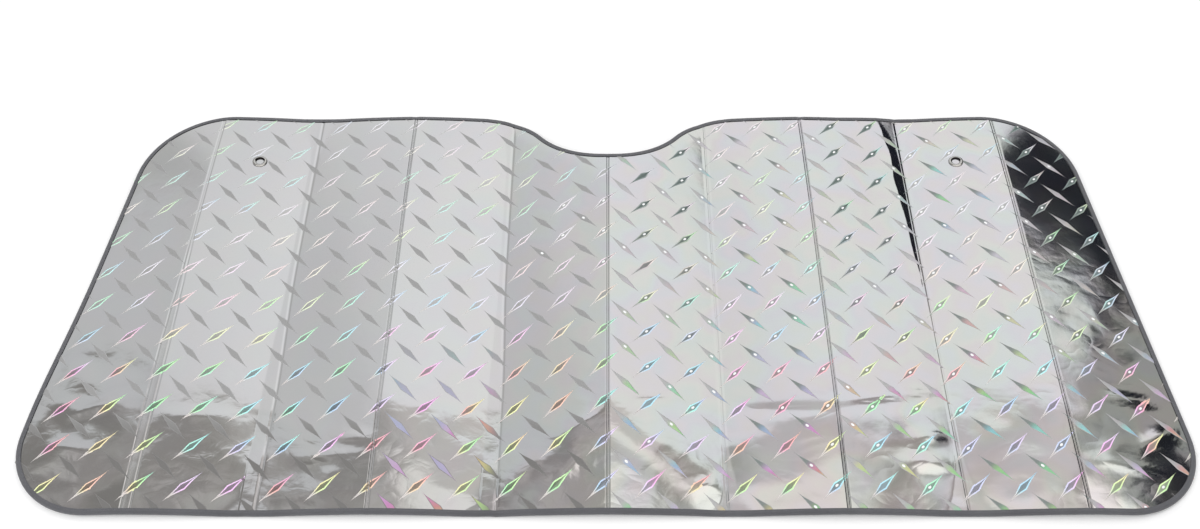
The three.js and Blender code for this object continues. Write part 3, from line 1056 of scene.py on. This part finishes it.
def make_seam(name, base, dip, material):
    """One face of the seam. Its stitches follow the tape's line at the seam's inset."""
    x, y = outline_points(SEAM_INSET, TAPE_SPACING).T
    mesh = bpy.data.meshes.new(name)
    edges = [(k, (k + 1) % len(x)) for k in range(len(x))]
    mesh.from_pydata(laid(x, y, base + folded(x, y)).tolist(), edges, [])
    seam = bpy.data.objects.new(name, mesh)
    bpy.context.collection.objects.link(seam)
    stitch = stitch_template("stitch", dip)
    tree, sockets = seam_tree(material)
    grow(seam, tree, sockets, {"Stitch": stitch, "Pitch": STITCH_PITCH})
    bpy.data.objects.remove(stitch)
    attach(seam, "root")


thread = make_material("slate_thread", twisted)
make_seam("seam_top", SEAM_TOP, STITCH_DIP, thread)
make_seam("seam_underside", SEAM_BOTTOM, -STITCH_DIP, thread)

# The sheet as it was cut: the front and back of its outline at narrow strips across it
CUT_STRIPS = 2000
cut_x = np.linspace(SHEET_INSET - HALF_WIDTH, HALF_WIDTH - SHEET_INSET, CUT_STRIPS + 1)
cut_front, cut_back = ends_of_column(cut_x, SHEET_INSET)

# Eyelets. Each is a nickel-plated barrel with a rounded flange on the shiny face, clinched over a
# flat washer on the back, so that a suction cup's stem can pass through the laminate.
PANEL_REACH = PANEL_WIDTH - VALLEY_HALF_WIDTH
EYELET_SLOPE = math.atan2(RIDGE_RISE, PANEL_REACH)
EYELET_HEIGHT = SHEET_TOP + RIDGE_RISE * (1 - (4 * PANEL_WIDTH - EYELET_X) / PANEL_REACH)
EYELET_SEGMENTS = 64
# Radii, and heights above the film, in millimetres
EYELET_PROFILE = (
    (4.75, -4.75), (4.80, -4.98), (5.00, -5.10), (7.00, -5.10), (7.20, -5.00), (7.25, -4.75),
    (7.20, -4.50), (7.00, -4.40), (5.35, -4.40), (5.35, 0.30), (9.40, 0.30), (9.50, 0.42),
    (9.42, 0.72), (9.10, 1.10), (8.60, 1.42), (7.90, 1.66), (7.10, 1.74), (6.30, 1.68),
    (5.60, 1.45), (5.10, 1.10), (4.84, 0.70), (4.75, 0.20),
)
WASHER_PROFILE = (
    (5.65, -4.00), (5.75, -4.10), (9.30, -4.10), (9.50, -3.95), (9.50, -3.45), (9.35, -3.30),
    (5.75, -3.30), (5.65, -3.40),
)


def turned(name, profile, side):
    """A ring turned about the panel's normal from a closed profile of radii and heights."""
    turn = Euler((0, -side * EYELET_SLOPE, 0)).to_matrix()
    start = Vector((side * EYELET_X, EYELET_Y, EYELET_HEIGHT))
    vertices = []
    for radius, height in profile:
        for k in range(EYELET_SEGMENTS):
            angle = math.tau * k / EYELET_SEGMENTS
            point = Vector((radius * math.cos(angle), radius * math.sin(angle), height)) * MM
            vertices.append(start + turn @ point)
    faces = []
    for ring in range(len(profile)):
        after = (ring + 1) % len(profile)
        for k in range(EYELET_SEGMENTS):
            later = (k + 1) % EYELET_SEGMENTS
            faces.append((ring * EYELET_SEGMENTS + k, ring * EYELET_SEGMENTS + later,
                          after * EYELET_SEGMENTS + later, after * EYELET_SEGMENTS + k))
    return make_object(name, vertices, faces)


def nickel(nodes, place):
    """Bright nickel with faint handling scratches, and painted shade inside the barrel, reaching further
    on its far side.
    """
    scratches = nodes.noise(place, 900.0, 2.0, 0.6)
    x, y, z = nodes.split(place)
    away_x = x.math("ABSOLUTE") - EYELET_X
    away_y = y - EYELET_Y
    distance = (away_x * away_x + away_y * away_y).math("SQRT")
    # Painted shade in the bore, deeper on the far side of the hole
    inside = (distance - 0.0014 * away_y.step(-0.001, 0.002)).step(0.0056, 0.0049)
    bright = nodes.mix(scratches, (0.66, 0.65, 0.63), (0.80, 0.79, 0.77))
    return {
        "Base Color": nodes.mix(inside, bright, (0.035, 0.033, 0.032)),
        "Metallic": 1.0,
        "Roughness": 0.10 + 0.12 * scratches,
        "Normal": nodes.bump(scratches, 0.00006),
    }


plated = make_material("nickel_plate", nickel)
for side, word in ((-1, "left"), (1, "right")):
    for name, profile, node in (
        (f"flange_{word}", EYELET_PROFILE, f"eyelet_{word}"),
        (f"washer_{word}", WASHER_PROFILE, f"eyelet_washer_{word}"),
    ):
        ring = turned(name, profile, side)
        ring.data.materials.append(plated)
        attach(ring, "root")
        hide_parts(node)

# Floor and light. The shade lies on a plain white floor under soft studio light. What the film
# mirrors is a pale studio with a warmer ceiling over the near edge and a dark wall on the right.
FLOOR_SIZE = 12.0
FLOOR_DROP = 0.0005
WHITE = (1.0, 1.0, 1.0)
SOFT_LIGHT = (0.72, 0.72, 0.72)


def white_floor(nodes, place):
    """Plain white, glowing a little, and more where the lamps hardly reach."""
    x, y, z = nodes.split(place)
    away = (x * x + y * y).math("SQRT").step(1.2, 3.0)
    return {
        "Base Color": (0.93, 0.93, 0.93, 1.0),
        "Roughness": 0.9,
        "Emission Color": nodes.mix(away, (0.10, 0.10, 0.10), (0.40, 0.40, 0.40)),
        "Emission Strength": 1.0,
    }


corners = [(x * FLOOR_SIZE / 2, y * FLOOR_SIZE / 2, -FLOOR_DROP)
           for x, y in ((-1, -1), (1, -1), (1, 1), (-1, 1))]
floor = make_object("floor", corners, [(0, 1, 2, 3)])
floor.data.materials.append(make_material("white_floor", white_floor))


def add_lamp(name, place, aim, size, power):
    """A soft square lamp that the film doesn't mirror."""
    data = bpy.data.lights.new(name, "AREA")
    data.shape = "SQUARE"
    data.size = size
    data.energy = power
    lamp = bpy.data.objects.new(name, data)
    lamp.location = place
    lamp.rotation_euler = (Vector(aim) - Vector(place)).to_track_quat("-Z", "Y").to_euler()
    lamp.visible_glossy = False
    bpy.context.collection.objects.link(lamp)


add_lamp("key_lamp", (-1.6, -1.2, 2.6), (0, 0, 0), 1.6, 34)
add_lamp("fill_lamp", (1.8, 0.8, 2.4), (0, 0, 0), 1.8, 16)

# What is mirrored, by azimuth from straight ahead towards the right and by height, in degrees
WALLS = (
    (-180, (0.50, 0.50, 0.51)), (-50, (0.50, 0.505, 0.51)), (-30, (0.55, 0.55, 0.55)),
    (-26, (0.61, 0.61, 0.61)), (-14, (0.68, 0.68, 0.68)), (0, (0.75, 0.75, 0.75)),
    (14, (0.77, 0.775, 0.77)), (34, (0.75, 0.755, 0.75)), (180, (0.52, 0.525, 0.53)),
)
CEILING = (
    (-180, (0.18, 0.175, 0.165)), (-46, (0.21, 0.20, 0.19)), (-41, (0.34, 0.33, 0.315)),
    (-37, (0.26, 0.25, 0.24)), (-18, (0.25, 0.24, 0.225)), (-10, (0.36, 0.345, 0.33)),
    (-3, (0.49, 0.47, 0.455)), (4, (0.53, 0.50, 0.485)), (16, (0.51, 0.48, 0.465)),
    (26, (0.57, 0.55, 0.535)), (33, (0.57, 0.55, 0.535)), (35, (0.33, 0.31, 0.295)),
    (38, (0.31, 0.29, 0.275)), (41, (0.42, 0.40, 0.39)), (180, (0.40, 0.38, 0.37)),
)
CEILING_HEIGHT = (
    (-180, 41), (-48, 43), (-44, 44.5), (-41, 49.5), (-37, 56), (-34, 58), (-27, 58.5), (-20, 58),
    (-14, 57), (-4, 57.2), (12, 57), (20, 57), (34, 55), (36.5, 51.3), (39, 51.5), (42, 55), (180, 55),
)
GLOW = (1.15, 1.12, 1.08)
SIDE_WALL = (0.32, 0.315, 0.30)
DARK_WALL = (0.012, 0.013, 0.018)
HORIZON = (0.05, 0.052, 0.056)


def by_azimuth(nodes, azimuth, stops):
    stops = [((degrees + 180) / 360, color) for degrees, color in stops]
    return nodes.node("ShaderNodeValToRGB", {"stops": stops}, {0: (azimuth + 180) / 360})


def studio(nodes, direction):
    """The colour of the studio in one direction, from the walls up to the ceiling."""
    x, y, z = nodes.split(direction)
    azimuth = x.math("ARCTAN2", y) * (180 / math.pi)
    height = z.math("ARCSINE") * (180 / math.pi)
    wobble = nodes.noise(direction, 5.0, 3.0, 0.55) - 0.5
    patches = nodes.noise(direction, 14.0)
    # Pale walls, with a darker one low on the left and to the right
    color = by_azimuth(nodes, azimuth, WALLS)
    low_left = azimuth.step(-24.0, -30.0) * height.step(40.5, 37.5)
    color = nodes.mix(0.45 * low_left, color, SIDE_WALL)
    side = azimuth.step(38.0, 41.5) * (height + 4 * wobble).step(50.0, 47.5)
    far_right = azimuth.step(41.0, 44.0) * height.step(59.0, 57.0)
    color = nodes.mix(side.math("MAXIMUM", far_right), color, SIDE_WALL)
    far_side = (azimuth + 30 * (patches - 0.5)).step(50.0, 51.0) * height.step(60.0, 57.0)
    color = nodes.mix(far_side * azimuth.step(85.0, 70.0), color, DARK_WALL)
    color = nodes.mix(height.step(24.0, 3.0), color, HORIZON)
    # A warmer, cloudy ceiling with a wavy edge
    levels = [(degrees, (level / 90,) * 3) for degrees, level in CEILING_HEIGHT]
    edge = by_azimuth(nodes, azimuth, levels) * 90
    over = height + 5 * wobble - edge
    clouds = nodes.noise(direction, 9.0)
    ceiling = nodes.mix((clouds - 0.5) * 1.8, by_azimuth(nodes, azimuth, CEILING), (0.62, 0.60, 0.58))
    color = nodes.mix(over.step(0.0, 1.2), color, ceiling)
    # Bright lamps' glow on the ceiling, a haze on its left, and a bright wall behind
    corner_glow = azimuth.step(40.0, 44.0)
    low = (height + 8 * wobble + 8 * corner_glow).step(62.0, 65.0)
    glow = low * (height + 6 * wobble).step(74.0, 69.0) * (1 + corner_glow)
    glow = 0.38 * glow.math("MAXIMUM", 1.5 * height.step(77.0, 82.0)) * azimuth.step(-15.0, -6.0)
    color = nodes.mix(glow, color, GLOW)
    haze = 0.25 * height.step(62.0, 70.0) * azimuth.step(-13.0, -18.0)
    color = nodes.mix(haze, color, (0.60, 0.60, 0.59))
    behind = azimuth.math("ABSOLUTE").step(90.0, 115.0) * height.step(35.0, 50.0)
    color = nodes.mix(behind, color, GLOW)
    # The dark wall, with a ragged top
    ragged = 3 * wobble + 3 * (patches - 0.5)
    wall_top = (0.55 * azimuth + 23.6).math("MINIMUM", 0.15 * azimuth + 37.1) - ragged
    dark = azimuth.step(24.0, 26.5) * (height - wall_top).step(0.4, -0.3)
    return nodes.mix(dark * azimuth.step(42.5, 40.5), color, DARK_WALL)


world = bpy.data.worlds.new("studio")
world.use_nodes = True
bpy.context.scene.world = world
nodes = Nodes(world.node_tree)
direction = nodes.node("ShaderNodeTexCoord", output="Generated")
path = world.node_tree.nodes.new("ShaderNodeLightPath")
is_glossy = Socket(nodes, path.outputs["Is Glossy Ray"])
is_seen = Socket(nodes, path.outputs["Is Camera Ray"])
mirrored = nodes.mix(is_glossy, SOFT_LIGHT, studio(nodes, direction))
seen = nodes.mix(is_seen, mirrored, WHITE)
background = world.node_tree.nodes["Background"]
world.node_tree.links.new(seen.source, background.inputs["Color"])

bpy.context.scene.view_settings.view_transform = "Standard"
